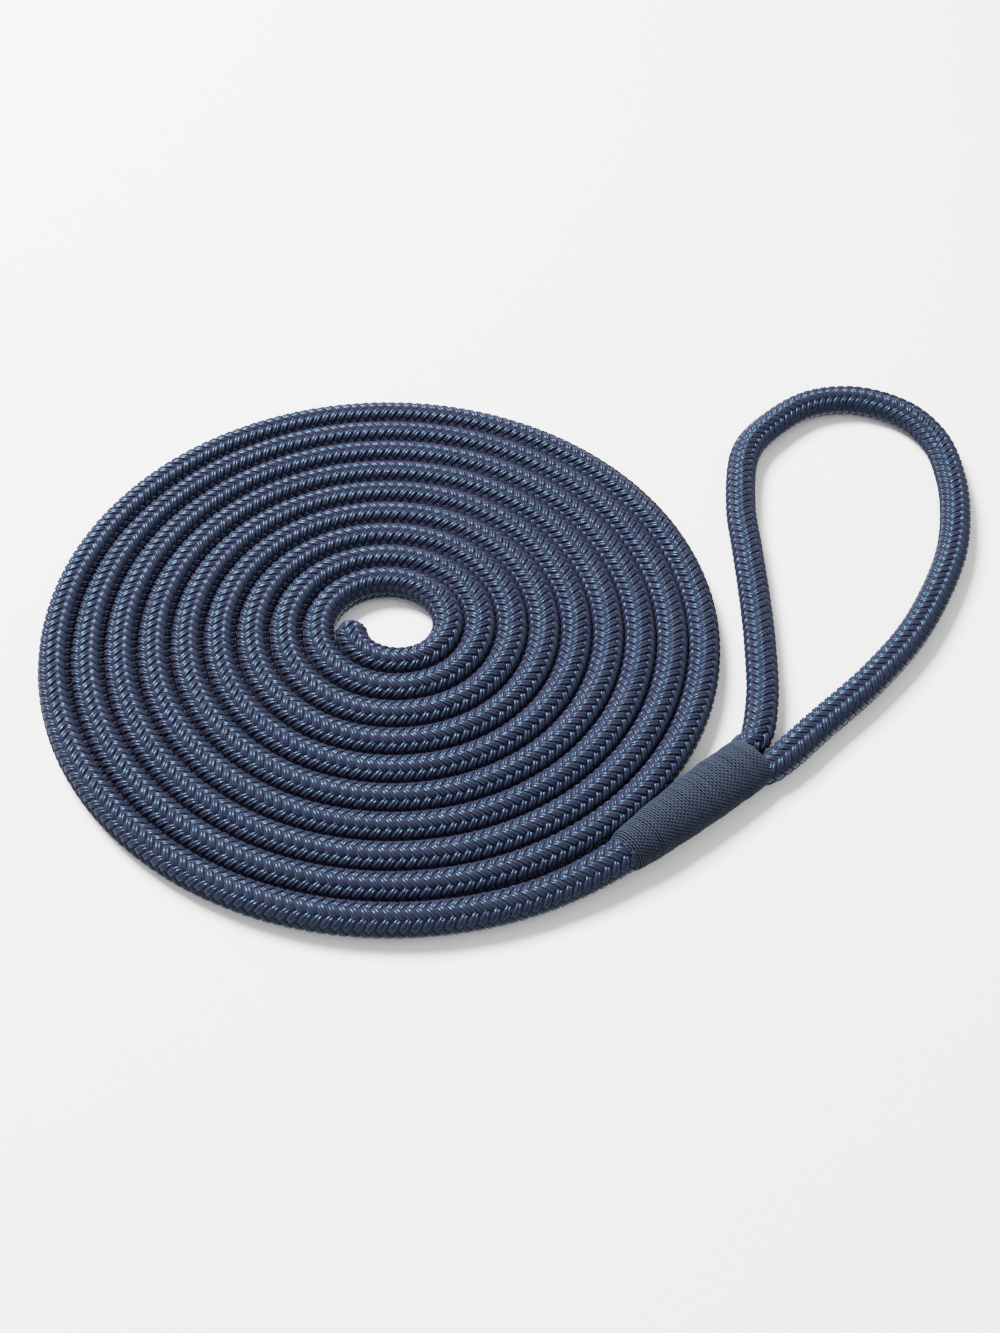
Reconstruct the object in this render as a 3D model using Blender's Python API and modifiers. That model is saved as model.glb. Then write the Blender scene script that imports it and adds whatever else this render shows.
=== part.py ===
"""Coiled dock line: a double-braid mooring line laid as a flat spiral, with a spliced and seized eye.

The line runs from its sealed bitter end in the middle of the coil, outwards through every turn,
into a seized splice, and round the eye. Cover and core are separate tubes all the way. The part
stands on z = 0 with its origin at the middle of its footprint. Metres, +Z up.
"""

import math

import bmesh
import bpy
from mathutils import Matrix, Vector

OBJECT_NAME = "coiled_dock_line"

# The line: a braided cover round a braided core.
LINE_DIAMETER = 0.0159
COVER_WALL = 0.0025
FIT_GAP = 0.0003
TUBE_SIDES = 8

# The coil: a flat spiral whose turns lie side by side, wound from the bitter end outwards. The
# inner turns are settled in towards the middle on one side.
START_RADIUS = 0.0225
START_ANGLE = math.radians(180)
TURNS = 9.3630
TURN_POINTS = 20
TURN_GAP = 0.0003
SETTLE = 0.0065
SETTLE_TURNS = 4.0
LEAD_OUT_ANGLE = math.radians(45)
LEAD_STUB = 0.0040
WHIPPING_CLEARANCE = 0.00105

# The melted and rounded bitter end.
SEAL_LENGTH = 0.0030
SEAL_ROUNDING = 0.0014
SEAL_DRAW_IN = 0.0008
SEAL_SIDES = 16

# The splice throat: the line leads in at the foot, both legs of the eye leave at the head.
THROAT_LENGTH = 0.0868
THROAT_LEAN = math.radians(2.32)
THROAT_WALL = 0.0015
THROAT_SQUEEZE = 0.0013
FOOT_ROOM = 0.0018
HEAD_ROOM_ACROSS = 0.0030
HEAD_ROOM_UP = 0.0028
THROAT_SIDES = 16
THROAT_SPANS = 5
TAIL_TIP = 0.0028
WHIPPING_WALL = 0.0012
WHIPPING_SETBACK = 0.0020

# The eye: both legs leave the throat's head side by side, and this route runs from one leg round
# to the other. Its points are (across the throat to its left, along the throat past its head).
LEG_STUB = 0.0080
EYE_POINTS = (
    (0.0233, 0.0294),
    (0.0482, 0.0542),
    (0.0753, 0.0782),
    (0.1011, 0.0997),
    (0.1255, 0.1203),
    (0.1548, 0.1553),
    (0.1612, 0.1819),
    (0.1598, 0.2132),
    (0.1446, 0.2371),
    (0.1182, 0.2493),
    (0.0919, 0.2456),
    (0.0673, 0.2292),
    (0.0477, 0.2093),
    (0.0279, 0.1811),
    (0.0061, 0.1280),
    (-0.0025, 0.0826),
    (-0.0055, 0.0413),
)
EYE_STEP = 0.0320

TURN_PITCH = LINE_DIAMETER + TURN_GAP
TOTAL_ANGLE = 2 * math.pi * TURNS
CORE_DIAMETER = LINE_DIAMETER - 2 * (COVER_WALL + FIT_GAP)

# The throat is as large as what it holds: one core and the tail's tip at its foot, two cores at
# its head. It heads along the last turn, leaning a little towards the coil, and the last turn
# leads out just far enough for the whipping to clear the turn inside it.
THROAT_HEADING = START_ANGLE + TOTAL_ANGLE + math.pi / 2 + THROAT_LEAN
THROAT_CORE = CORE_DIAMETER - THROAT_SQUEEZE
THROAT_FOOT = 2 * THROAT_WALL + THROAT_CORE + TAIL_TIP + FOOT_ROOM
THROAT_HEAD_WIDTH = 2 * THROAT_WALL + 2 * THROAT_CORE + HEAD_ROOM_ACROSS
THROAT_HEAD_HEIGHT = 2 * THROAT_WALL + THROAT_CORE + HEAD_ROOM_UP
WHIPPING_FOOT = THROAT_FOOT + 2 * (FIT_GAP + WHIPPING_WALL)
LEAD_OUT = (WHIPPING_FOOT - LINE_DIAMETER) / 2 - TURN_GAP + WHIPPING_CLEARANCE


def clear_scene():
    """Remove every object, so that the script starts from an empty scene."""
    for obj in list(bpy.data.objects):
        bpy.data.objects.remove(obj, do_unlink=True)


def make_material(name, colour, roughness):
    """A plain Principled material."""
    material = bpy.data.materials.new(name)
    material.use_nodes = True
    shader = material.node_tree.nodes["Principled BSDF"]
    shader.inputs["Base Color"].default_value = (*colour, 1.0)
    shader.inputs["Roughness"].default_value = roughness
    shader.inputs["Metallic"].default_value = 0.0
    return material


def add_object(name, data, collection, material):
    """Link a new object with its one material."""
    obj = bpy.data.objects.new(name, data)
    data.materials.append(material)
    collection.objects.link(obj)
    return obj


def spiral_point(angle):
    """The coil's centreline at an angle counted from the bitter end.

    The inner turns lie in towards the middle on the side that faces the throat's foot, less with
    every turn, and the last turn leads out to the throat.
    """
    heading = START_ANGLE + angle
    facing = (1 - math.sin(heading)) / 2
    settled = SETTLE * facing**1.5 * math.exp(-angle / (2 * math.pi * SETTLE_TURNS))
    ease = max(0.0, 1 - (TOTAL_ANGLE - angle) / LEAD_OUT_ANGLE)
    radius = START_RADIUS + TURN_PITCH * angle / (2 * math.pi) - settled + LEAD_OUT * ease**2
    return Vector((radius * math.cos(heading), radius * math.sin(heading), LINE_DIAMETER / 2))


def throat_heading():
    """The level direction in which the line runs into the throat."""
    return Vector((math.cos(THROAT_HEADING), math.sin(THROAT_HEADING), 0.0))


def coil_route():
    """Centreline points at equal angles, so that the chords of neighbouring turns lie side by side."""
    step = 2 * math.pi / TURN_POINTS
    angles = [index * step for index in range(int(TOTAL_ANGLE / step) + 1)]
    if TOTAL_ANGLE - angles[-1] > step / 4:
        angles.append(TOTAL_ANGLE)
    else:
        angles[-1] = TOTAL_ANGLE
    route = [spiral_point(angle) for angle in angles]
    route.append(route[-1] + throat_heading() * LEAD_STUB)
    return route


def smooth_route(points, step):
    """Points about one step apart along a centripetal Catmull-Rom curve through the given points."""
    ends = [2 * points[0] - points[1], *points, 2 * points[-1] - points[-2]]
    fine = []
    for before, start, end, after in zip(ends, ends[1:], ends[2:], ends[3:]):
        knots = [0.0]
        for first, second in ((before, start), (start, end), (end, after)):
            knots.append(knots[-1] + (second - first).length ** 0.5)
        for part in range(12):
            t = knots[1] + (knots[2] - knots[1]) * part / 12
            row = [before, start, end, after]
            for level in (1, 2, 3):
                span = 1 if level == 3 else level
                low = 1 if level == 3 else 0
                row = [
                    row[i].lerp(row[i + 1], (t - knots[i + low]) / (knots[i + low + span] - knots[i + low]))
                    for i in range(len(row) - 1)
                ]
            fine.append(row[0])
    fine.append(points[-1].copy())
    lengths = [0.0]
    for first, second in zip(fine, fine[1:]):
        lengths.append(lengths[-1] + (second - first).length)
    count = round(lengths[-1] / step)
    route = []
    index = 0
    for number in range(count + 1):
        target = lengths[-1] * number / count
        while index < len(fine) - 2 and lengths[index + 1] < target:
            index += 1
        share = (target - lengths[index]) / (lengths[index + 1] - lengths[index])
        route.append(fine[index].lerp(fine[index + 1], share))
    return route


def eye_route(throat):
    """Centreline points from one leg's end face at the throat's head, round the eye, to the other's."""
    level = LINE_DIAMETER / 2
    beside = (LINE_DIAMETER + TURN_GAP) / 2
    face = THROAT_LENGTH + FIT_GAP
    left_end, left_stub, right_end, right_stub = (
        throat @ Vector((side, level, distance))
        for side in (beside, -beside)
        for distance in (face, face + LEG_STUB)
    )
    between = [throat @ Vector((side, level, face + ahead)) for side, ahead in EYE_POINTS]
    return [left_end, *smooth_route([left_stub, *between, right_stub], EYE_STEP), right_end]


def route_curve(name, points, diameter, caps):
    """A POLY curve whose tube has eight flats: one on the floor, one on each side."""
    curve = bpy.data.curves.new(name, "CURVE")
    curve.dimensions = "3D"
    curve.twist_mode = "Z_UP"
    curve.bevel_mode = "ROUND"
    curve.bevel_depth = diameter / 2 / math.cos(math.pi / TUBE_SIDES)
    curve.bevel_resolution = (TUBE_SIDES - 4) // 2
    curve.use_fill_caps = caps
    spline = curve.splines.new("POLY")
    spline.points.add(len(points) - 1)
    for slot, point in zip(spline.points, points):
        slot.co = (*point, 1.0)
        slot.tilt = math.pi / TUBE_SIDES
    return curve


def add_core(name, points, collection, material):
    """The braided core of one stretch, a solid rod."""
    return add_object(name, route_curve(name, points, CORE_DIAMETER, True), collection, material)


def add_cover(name, points, collection, material):
    """The braided cover of one stretch, a tube open at both ends."""
    cover = add_object(name, route_curve(name, points, LINE_DIAMETER, False), collection, material)
    wall = cover.modifiers.new("wall", "SOLIDIFY")
    wall.thickness = COVER_WALL
    wall.offset = -1.0
    wall.use_even_offset = True
    return cover


def axis_frame(origin, direction):
    """A matrix whose z axis runs along a level direction, with x to its right and y up."""
    z_axis = direction.normalized()
    y_axis = Vector((0, 0, 1))
    x_axis = y_axis.cross(z_axis)
    turn = Matrix((x_axis, y_axis, z_axis)).transposed().to_4x4()
    return Matrix.Translation(origin) @ turn


def section_ring(mesh, distance, centre, width, height, sides):
    """The vertices of one oval with flats below and at its sides, at a distance along the local z axis."""
    flat = 1 / math.cos(math.pi / sides)
    ring = []
    for index in range(sides):
        angle = 2 * math.pi * (index + 0.5) / sides
        x = centre[0] + width / 2 * flat * math.cos(angle)
        y = centre[1] + height / 2 * flat * math.sin(angle)
        ring.append(mesh.verts.new((x, y, distance)))
    return ring


def add_loft(name, frame, rings, closed, collection, material):
    """A solid through oval rings (distance, centre, width, height); closed joins the last to the first."""
    mesh = bmesh.new()
    loops = [section_ring(mesh, *ring, THROAT_SIDES) for ring in rings]
    if closed:
        loops.append(loops[0])
    for first, second in zip(loops, loops[1:]):
        for index in range(THROAT_SIDES):
            after = (index + 1) % THROAT_SIDES
            mesh.faces.new((first[index], first[after], second[after], second[index]))
    if not closed:
        mesh.faces.new(loops[0][::-1])
        mesh.faces.new(loops[-1])
    bmesh.ops.recalc_face_normals(mesh, faces=mesh.faces)
    mesh.transform(frame)
    data = bpy.data.meshes.new(name)
    mesh.to_mesh(data)
    mesh.free()
    return add_object(name, data, collection, material)


def throat_section(share, inset):
    """Centre, width and height of the throat's oval at a share of its length, inset all round."""
    width = THROAT_FOOT + (THROAT_HEAD_WIDTH - THROAT_FOOT) * share - 2 * inset
    height = THROAT_FOOT + (THROAT_HEAD_HEIGHT - THROAT_FOOT) * share - 2 * inset
    middle = height / 2 + inset + WHIPPING_WALL + FIT_GAP
    return (0.0, middle), width, height


def add_throat(frame, collection, cover_material, core_material):
    """The splice throat: its cover, the core that runs through, and the tail buried beside it."""
    shares = [span / THROAT_SPANS for span in range(THROAT_SPANS + 1)]
    rings = [(share * THROAT_LENGTH, *throat_section(share, 0.0)) for share in shares]
    bore = [(share * THROAT_LENGTH, *throat_section(share, THROAT_WALL)) for share in shares]
    add_loft("throat_cover", frame, rings + bore[::-1], True, collection, cover_material)

    foot_bore = THROAT_FOOT / 2 - THROAT_WALL
    core_foot = foot_bore - 2 * FIT_GAP - THROAT_CORE / 2
    tail_foot = foot_bore - 2 * FIT_GAP - TAIL_TIP / 2
    beside = THROAT_CORE / 2 + FIT_GAP
    core_rings = []
    tail_rings = []
    for share, core_side, tail_side, tail in (
        (0.0, core_foot, -tail_foot, TAIL_TIP),
        (1.0, beside, -beside, THROAT_CORE),
    ):
        level = throat_section(share, 0.0)[0][1]
        core_rings.append((share * THROAT_LENGTH, (core_side, level), THROAT_CORE, THROAT_CORE))
        tail_rings.append((share * THROAT_LENGTH, (tail_side, level), tail, tail))
    add_loft("throat_core", frame, core_rings, False, collection, core_material)
    add_loft("buried_tail", frame, tail_rings, False, collection, cover_material)


def add_whipping(frame, collection, material):
    """The seizing: wound twine round nearly the whole throat, as one sleeve."""
    covered = THROAT_LENGTH - 2 * WHIPPING_SETBACK
    rings = []
    for inset in (-WHIPPING_WALL - FIT_GAP, -FIT_GAP):
        side = []
        for span in range(THROAT_SPANS + 1):
            distance = WHIPPING_SETBACK + covered * span / THROAT_SPANS
            side.append((distance, *throat_section(distance / THROAT_LENGTH, inset)))
        rings = rings[::-1] + side
    return add_loft("whipping", frame, rings, True, collection, material)


def add_seal(frame, collection, material):
    """The bitter end's melted cap, a short disc with a rounded outer edge."""
    place = Matrix.Translation((0, 0, SEAL_LENGTH / 2)) @ Matrix.Rotation(math.pi / SEAL_SIDES, 4, "Z")
    radius = LINE_DIAMETER / 2 - SEAL_DRAW_IN
    mesh = bmesh.new()
    bmesh.ops.create_cone(
        mesh,
        cap_ends=True,
        segments=SEAL_SIDES,
        radius1=radius,
        radius2=radius,
        depth=SEAL_LENGTH,
        matrix=place,
    )
    rim = [edge for edge in mesh.edges if all(v.co.z > SEAL_LENGTH * 0.9 for v in edge.verts)]
    bmesh.ops.bevel(mesh, geom=rim, offset=SEAL_ROUNDING, segments=2, profile=0.5, affect="EDGES")
    bmesh.ops.recalc_face_normals(mesh, faces=mesh.faces)
    mesh.transform(frame)
    data = bpy.data.meshes.new("bitter_end_seal")
    mesh.to_mesh(data)
    mesh.free()
    return add_object("bitter_end_seal", data, collection, material)


def centre_on_floor(objects):
    """Shift every piece so that the origin is at the middle of the footprint, on the floor."""
    bpy.context.view_layer.update()
    graph = bpy.context.evaluated_depsgraph_get()
    points = []
    for obj in objects:
        evaluated = obj.evaluated_get(graph)
        mesh = evaluated.to_mesh()
        points += [obj.matrix_world @ vertex.co for vertex in mesh.vertices]
        evaluated.to_mesh_clear()
    low = Vector([min(point[axis] for point in points) for axis in range(3)])
    high = Vector([max(point[axis] for point in points) for axis in range(3)])
    shift = Vector((-(low.x + high.x) / 2, -(low.y + high.y) / 2, -low.z))
    for obj in objects:
        obj.location = shift


def main():
    """Build the whole line."""
    clear_scene()
    collection = bpy.data.collections.new(OBJECT_NAME)
    bpy.context.scene.collection.children.link(collection)
    navy = make_material("braided_cover", (0.030, 0.036, 0.085), 0.55)
    white = make_material("braided_core", (0.75, 0.75, 0.72), 0.75)
    slate = make_material("whipping_twine", (0.050, 0.070, 0.130), 0.70)
    melted = make_material("melted_end", (0.015, 0.017, 0.035), 0.40)

    coil = coil_route()
    add_cover("coil_cover", coil, collection, navy)
    add_core("coil_core", coil, collection, white)

    start = (coil[1] - coil[0]).normalized()
    seal_origin = coil[0] - start * FIT_GAP
    add_seal(axis_frame(seal_origin, -start), collection, melted)

    throat_origin = coil[-1] + throat_heading() * FIT_GAP
    throat_origin.z = 0.0
    throat = axis_frame(throat_origin, throat_heading())
    add_throat(throat, collection, navy, white)
    add_whipping(throat, collection, slate)

    eye = eye_route(throat)
    add_cover("eye_cover", eye, collection, navy)
    add_core("eye_core", eye, collection, white)

    centre_on_floor(list(collection.objects))


main()
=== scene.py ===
"""Coiled dock line: the visual model of a double-braid mooring line in a flat coil with a seized eye."""

from __future__ import annotations

import logging
import math
from dataclasses import dataclass, field
from enum import Enum

import bpy
import numpy as np
from mathutils import Matrix, Vector


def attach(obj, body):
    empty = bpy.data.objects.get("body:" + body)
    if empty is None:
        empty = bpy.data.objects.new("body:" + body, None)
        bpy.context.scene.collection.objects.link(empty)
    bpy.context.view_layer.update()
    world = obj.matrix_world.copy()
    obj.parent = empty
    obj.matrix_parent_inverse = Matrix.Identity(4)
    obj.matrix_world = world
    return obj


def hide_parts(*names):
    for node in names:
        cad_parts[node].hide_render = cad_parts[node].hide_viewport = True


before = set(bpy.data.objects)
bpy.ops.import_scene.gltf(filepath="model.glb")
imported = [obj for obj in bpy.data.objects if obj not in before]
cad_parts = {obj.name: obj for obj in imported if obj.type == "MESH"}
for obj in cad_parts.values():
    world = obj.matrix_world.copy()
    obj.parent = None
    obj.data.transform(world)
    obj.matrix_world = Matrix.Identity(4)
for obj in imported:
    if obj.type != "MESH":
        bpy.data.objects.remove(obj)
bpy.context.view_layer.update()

log = logging.getLogger("dock_line")

ROOT = "root"
COIL_CENTRE = Vector((-0.067790225, -0.012229711, 0.0))
UP = np.array([0.0, 0.0, 1.0])
FLOOR_GAP = 0.0002

Triple = tuple[float, float, float]
Arrays = tuple[np.ndarray, ...]
Piece = bpy.types.Object
Material = bpy.types.Material
Socket = bpy.types.NodeSocket


class Slot(Enum):
    """The record's material slots."""

    COVER = "braided_cover"
    CORE = "braided_core"
    SEAL = "melted_end"
    TWINE = "whipping_twine"


class Hand(Enum):
    """Which way a strand winds round the line."""

    RIGHT = 1
    LEFT = -1


# Where each hand's first float lies on the crossing grid, round the line and along it.
FIRST_FLOAT = {Hand.RIGHT: (0.5, 0.5), Hand.LEFT: (2.5, 1.5)}


# ---- helpers


def deselect_all() -> None:
    """Leave nothing selected, so that an operator acts only on the new piece."""
    if bpy.context.object is not None and bpy.context.object.mode != "OBJECT":
        bpy.ops.object.mode_set(mode="OBJECT")
    bpy.ops.object.select_all(action="DESELECT")


def keep_piece(piece: Piece, slot: Slot, replaced: tuple[str, ...] = ()) -> None:
    """Hang a finished piece on the body, hide the CAD nodes it stands for, and log its slot.

    Args:
        piece: The finished object, with its place in its mesh.
        slot: The material slot it takes its finish from.
        replaced: The CAD nodes it stands for.
    """
    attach(piece, ROOT)
    if replaced:
        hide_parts(*replaced)
    log.info("piece %s in %s", piece.name, slot.value)


def eased(share: np.ndarray | float) -> np.ndarray | float:
    """A share from 0 to 1 that starts and ends gently."""
    return share * share * (3 - 2 * share)


# ---- routes


@dataclass(frozen=True)
class Line:
    """The make-up of the line, in metres."""

    diameter: float = 0.0159
    turn_gap: float = 0.0003
    core_diameter: float = 0.0102
    bed_diameter: float = 0.0154

    @property
    def pitch(self) -> float:
        """Distance between neighbouring turns."""
        return self.diameter + self.turn_gap

    @property
    def level(self) -> float:
        """Height of the centreline over the floor."""
        return self.diameter / 2


@dataclass(frozen=True)
class CoilPlan:
    """The flat spiral, wound from the bitter end outwards."""

    start_radius: float = 0.0225
    start_angle: float = math.radians(180)
    turns: float = 9.3630
    settle: float = 0.0065
    settle_turns: float = 4.0
    settle_power: float = 1.5
    lead_out: float = 0.0026
    lead_out_angle: float = math.radians(45)
    lead_stub: float = 0.0040
    points_in_turn: int = 120

    @property
    def total(self) -> float:
        """The whole angle wound."""
        return 2 * math.pi * self.turns

    def point(self, angle: float, line: Line) -> Vector:
        """One point of the centreline.

        Args:
            angle: Angle counted from the bitter end.
            line: The line that is coiled.

        Returns:
            The point, in the shared frame.
        """
        heading = self.start_angle + angle
        facing = (1 - math.sin(heading)) / 2
        fading = math.exp(-angle / (2 * math.pi * self.settle_turns))
        settled = self.settle * facing**self.settle_power * fading
        ease = max(0.0, 1 - (self.total - angle) / self.lead_out_angle)
        wound = self.start_radius + line.pitch * angle / (2 * math.pi)
        radius = wound - settled + self.lead_out * ease**2
        return COIL_CENTRE + Vector((radius * math.cos(heading), radius * math.sin(heading), line.level))


@dataclass(frozen=True)
class ThroatPlan:
    """The seized splice: where it lies and how its oval grows from foot to head."""

    length: float = 0.0868
    heading: float = math.radians(43.0)
    foot: float = 0.0166
    head_width: float = 0.0240
    head_height: float = 0.0148
    twine_wall: float = 0.0012
    gap: float = 0.0003
    setback: float = 0.0020

    @property
    def direction(self) -> Vector:
        """The level direction from foot to head."""
        return Vector((math.cos(self.heading), math.sin(self.heading), 0.0))

    def oval(self, share: np.ndarray | float) -> tuple[np.ndarray | float, np.ndarray | float]:
        """The oval of the splice's own surface.

        Args:
            share: Share of the throat's length, from the foot.

        Returns:
            The oval's width and height.
        """
        width = self.foot + (self.head_width - self.foot) * share
        height = self.foot + (self.head_height - self.foot) * share
        return width, height

    def middle(self, share: float) -> float:
        """Height of the oval's middle over the floor, at a share of the throat's length."""
        return self.oval(share)[1] / 2 + self.twine_wall + self.gap


@dataclass(frozen=True)
class EyePlan:
    """The eye's route: across the throat to its left, and along the throat past its head."""

    leg_stub: float = 0.0080
    leg_bend: float = 0.2
    inner_spread: float = 0.62
    parts_in_span: int = 14
    points: tuple[tuple[float, float], ...] = (
        (0.0233, 0.0294),
        (0.0482, 0.0542),
        (0.0753, 0.0782),
        (0.1011, 0.0997),
        (0.1255, 0.1203),
        (0.1548, 0.1553),
        (0.1612, 0.1819),
        (0.1598, 0.2132),
        (0.1446, 0.2371),
        (0.1182, 0.2493),
        (0.0919, 0.2456),
        (0.0673, 0.2292),
        (0.0477, 0.2093),
        (0.0279, 0.1811),
        (0.0061, 0.1280),
        (-0.0025, 0.0826),
        (-0.0055, 0.0413),
    )


def smooth_route(points: list[Vector], parts: int) -> list[Vector]:
    """A centripetal Catmull-Rom curve through the points.

    Args:
        points: The points it goes through.
        parts: How many parts each span is cut into.

    Returns:
        The points of the curve.
    """
    ends = [2 * points[0] - points[1], *points, 2 * points[-1] - points[-2]]
    fine: list[Vector] = []
    for before, start, end, after in zip(ends, ends[1:], ends[2:], ends[3:]):
        knots = [0.0]
        for first, second in ((before, start), (start, end), (end, after)):
            knots.append(knots[-1] + (second - first).length ** 0.5)
        for part in range(parts):
            knot = knots[1] + (knots[2] - knots[1]) * part / parts
            row = [before, start, end, after]
            for low, span in ((0, 1), (0, 2), (1, 1)):
                row = [
                    first.lerp(second, (knot - opens) / (closes - opens))
                    for first, second, opens, closes in zip(row, row[1:], knots[low:], knots[low + span :])
                ]
            fine.append(row[0])
    fine.append(points[-1].copy())
    return fine


class Route:
    """A smooth centreline that can be asked for its place and frame at any distance along it."""

    def __init__(self, points: list[Vector]) -> None:
        """Measure the route.

        Args:
            points: Its points, close together.
        """
        self.points = np.array([tuple(p) for p in points], float)
        steps = np.linalg.norm(np.diff(self.points, axis=0), axis=1)
        self.run = np.concatenate([[0.0], np.cumsum(steps)])
        self.tangents = np.gradient(self.points, self.run, axis=0)
        self.tangents /= np.linalg.norm(self.tangents, axis=1, keepdims=True)

    @property
    def length(self) -> float:
        """The whole length."""
        return float(self.run[-1])

    def frames(self, along: np.ndarray) -> Arrays:
        """Places and frames at distances along the route.

        Args:
            along: Distances from the route's start.

        Returns:
            Points, tangents, sideways and upward directions, each with a last axis of three.
        """
        place = np.stack([np.interp(along, self.run, self.points[:, i]) for i in range(3)], axis=-1)
        tangent = np.stack([np.interp(along, self.run, self.tangents[:, i]) for i in range(3)], axis=-1)
        tangent /= np.linalg.norm(tangent, axis=-1, keepdims=True)
        side = np.cross(UP, tangent)
        side /= np.linalg.norm(side, axis=-1, keepdims=True)
        return place, tangent, side, np.cross(tangent, side)


@dataclass(frozen=True)
class Layout:
    """Every route of the object, in the shared frame."""

    line: Line = field(default_factory=Line)
    coil: CoilPlan = field(default_factory=CoilPlan)
    throat: ThroatPlan = field(default_factory=ThroatPlan)
    eye: EyePlan = field(default_factory=EyePlan)
    buried: float = 0.0100
    rise_run: float = 0.0450

    def coil_end(self) -> Vector:
        """Where the coil's straight stub meets the throat."""
        return self.coil.point(self.coil.total, self.line) + self.throat.direction * self.coil.lead_stub

    def throat_frame(self) -> Matrix:
        """The throat's own frame.

        Returns:
            A matrix whose z axis runs along the throat, with x to the coil's side and y up.
        """
        origin = self.coil_end() + self.throat.direction * self.throat.gap
        origin.z = 0.0
        z_axis = self.throat.direction
        y_axis = Vector(UP)
        x_axis = y_axis.cross(z_axis)
        turn = Matrix((x_axis, y_axis, z_axis)).transposed().to_4x4()
        return Matrix.Translation(origin) @ turn

    def coil_route(self) -> Route:
        """The coiled line's centreline.

        Returns:
            The route from the bitter end through every turn and a little way into the throat.
        """
        count = round(self.coil.turns * self.coil.points_in_turn)
        points = [self.coil.point(self.coil.total * i / count, self.line) for i in range(count + 1)]
        points.append(self.coil_end())
        points.append(points[-1] + self.throat.direction * self.buried)
        rise = self.throat.middle(0.0) - self.line.level
        runs = Route(points).run
        for point, run in zip(points, runs):
            share = 1 - (runs[-1] - self.buried - run) / self.rise_run
            point.z += rise * eased(min(1.0, max(0.0, share)))
        return Route(points)

    def eye_route(self) -> Route:
        """The eye's centreline.

        Returns:
            The route from inside the throat's head, round the eye, and back into it.
        """
        throat = self.throat_frame()
        level = self.line.level
        beside = self.line.pitch / 2
        face = self.throat.length + self.throat.gap
        left, left_stub, right, right_stub = (
            throat @ Vector((side, level, distance))
            for side in (beside, -beside)
            for distance in (face, face + self.eye.leg_stub)
        )
        inner = self.eye.inner_spread * beside
        middle = self.throat.middle(1.0)
        left_in, right_in = (throat @ Vector((side, middle, face - self.buried)) for side in (inner, -inner))
        loop = [throat @ Vector((side, level, face + ahead)) for side, ahead in self.eye.points]
        left_leg = [left_in, left.lerp(left_stub, self.eye.leg_bend), left_stub]
        right_leg = [right_stub, right.lerp(right_stub, self.eye.leg_bend), right_in]
        return Route(smooth_route(left_leg + loop + right_leg, self.eye.parts_in_span))


# ---- finishes

NOISE_ROUGHNESS = 0.6
MOTTLE_DETAIL = 5.0
MOTTLE_CONTRAST = 2.5
MOTTLE_BUMP = 0.6
FILAMENT_SCALE = 1.6
FILAMENT_DETAIL = 3.0
FILAMENT_BUMP = 0.8


class Kind(Enum):
    """What a group's socket carries."""

    VECTOR = "NodeSocketVector"
    NUMBER = "NodeSocketFloat"
    COLOUR = "NodeSocketColor"


class NodeWork:
    """Adds and links nodes in one tree, a material's or a group's."""

    def __init__(self, tree: bpy.types.NodeTree) -> None:
        """Take the tree.

        Args:
            tree: The tree to work in.
        """
        self.tree = tree

    def feed(self, socket: Socket, source: object) -> None:
        """Link a socket into an input, or set the input's value.

        Args:
            socket: The input.
            source: A socket, a number or a colour.
        """
        if isinstance(source, Socket):
            self.tree.links.new(source, socket)
        elif isinstance(source, tuple) and socket.type == "RGBA":
            socket.default_value = (*source, 1.0)
        else:
            socket.default_value = source

    def add(self, kind: str, inputs: dict[str | int, object], **settings: object) -> bpy.types.Node:
        """Add a node.

        Args:
            kind: The node's type name.
            inputs: What is fed to each input.
            **settings: The node's properties.

        Returns:
            The node.
        """
        made = self.tree.nodes.new(kind)
        for name, value in settings.items():
            setattr(made, name, value)
        for name, source in inputs.items():
            self.feed(made.inputs[name], source)
        return made

    def math(self, operation: str, *operands: object, clamp: bool = False) -> Socket:
        """Work out a number.

        Args:
            operation: The math node's operation.
            *operands: Sockets or numbers, in order.
            clamp: Whether the result is kept between 0 and 1.

        Returns:
            The result.
        """
        fed = dict(enumerate(operands))
        return self.add("ShaderNodeMath", fed, operation=operation, use_clamp=clamp).outputs[0]

    def blend(self, share: Socket, first: object, second: object) -> Socket:
        """Mix two colours.

        Args:
            share: Share of the second colour.
            first: The colour at 0.
            second: The colour at 1.

        Returns:
            The mixed colour.
        """
        node = self.add("ShaderNodeMix", {}, data_type="RGBA")
        inputs = {socket.identifier: socket for socket in node.inputs}
        for name, source in {"Factor_Float": share, "A_Color": first, "B_Color": second}.items():
            self.feed(inputs[name], source)
        return next(socket for socket in node.outputs if socket.identifier == "Result_Color")

    def noise(self, place: Socket, scale: object, detail: float) -> Socket:
        """Look up cloudy noise.

        Args:
            place: Where it is looked up.
            scale: How fine it is.
            detail: How many finer layers it has.

        Returns:
            The noise, from 0 to 1.
        """
        fed = {"Vector": place, "Scale": scale, "Detail": detail, "Roughness": NOISE_ROUGHNESS}
        return self.add("ShaderNodeTexNoise", fed).outputs["Fac"]


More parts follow.
